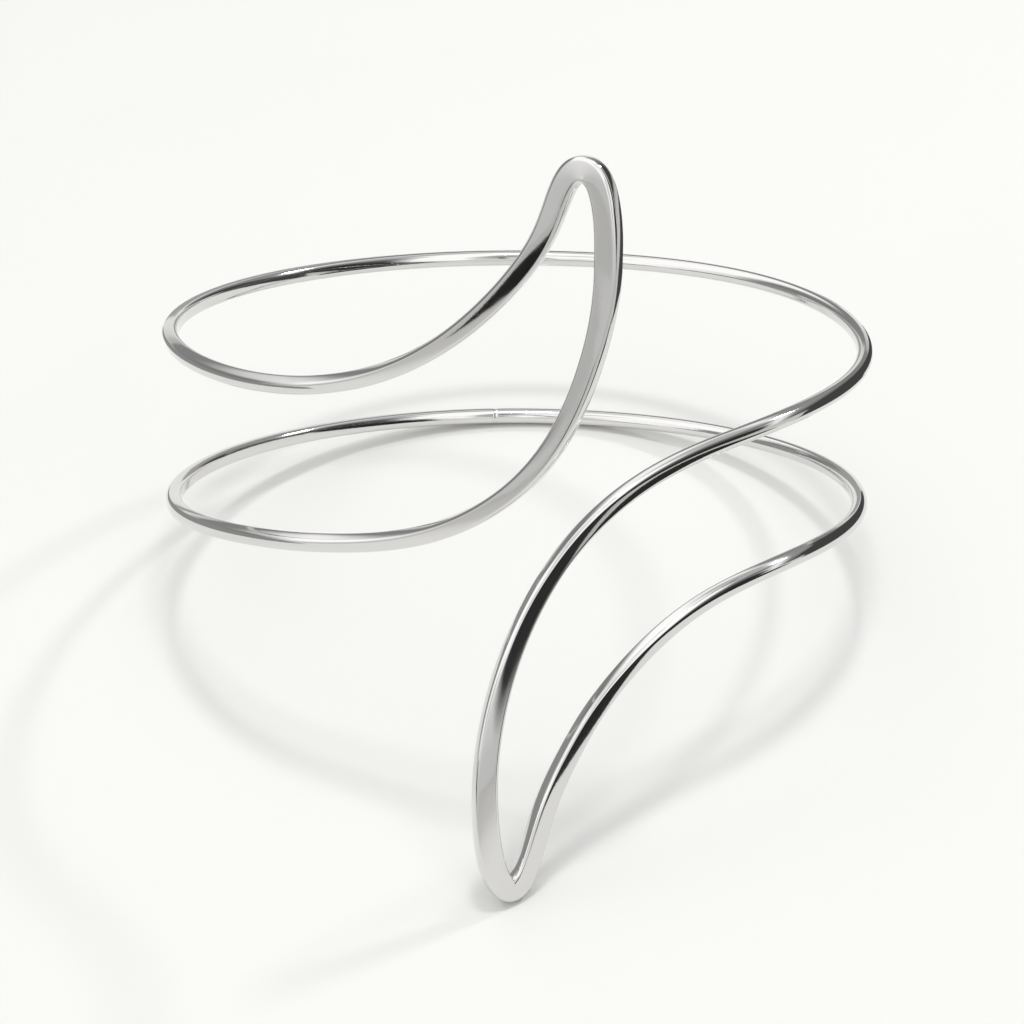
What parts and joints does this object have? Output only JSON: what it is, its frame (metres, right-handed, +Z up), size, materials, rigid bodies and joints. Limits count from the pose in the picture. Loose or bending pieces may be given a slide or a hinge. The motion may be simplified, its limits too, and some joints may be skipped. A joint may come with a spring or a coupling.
{
  "type": "arm cuff",
  "caption": "Open-front upper arm cuff of polished silver wire: parallel rings round the back join in a rising hairpin and a dropping hairpin at the front.",
  "frame": {"origin": "middle of the footprint box on the surface that the cuff rests on", "axes": "+Z up, -Y towards the front, where the two tips are, +X to the right as seen from the front"},
  "size_m": [0.0804, 0.0914, 0.0766],
  "materials": {
    "silver": "mirror polished"
  },
  "bodies": {
    "root": {"cuff_band": "silver"}
  },
  "joints": []
}
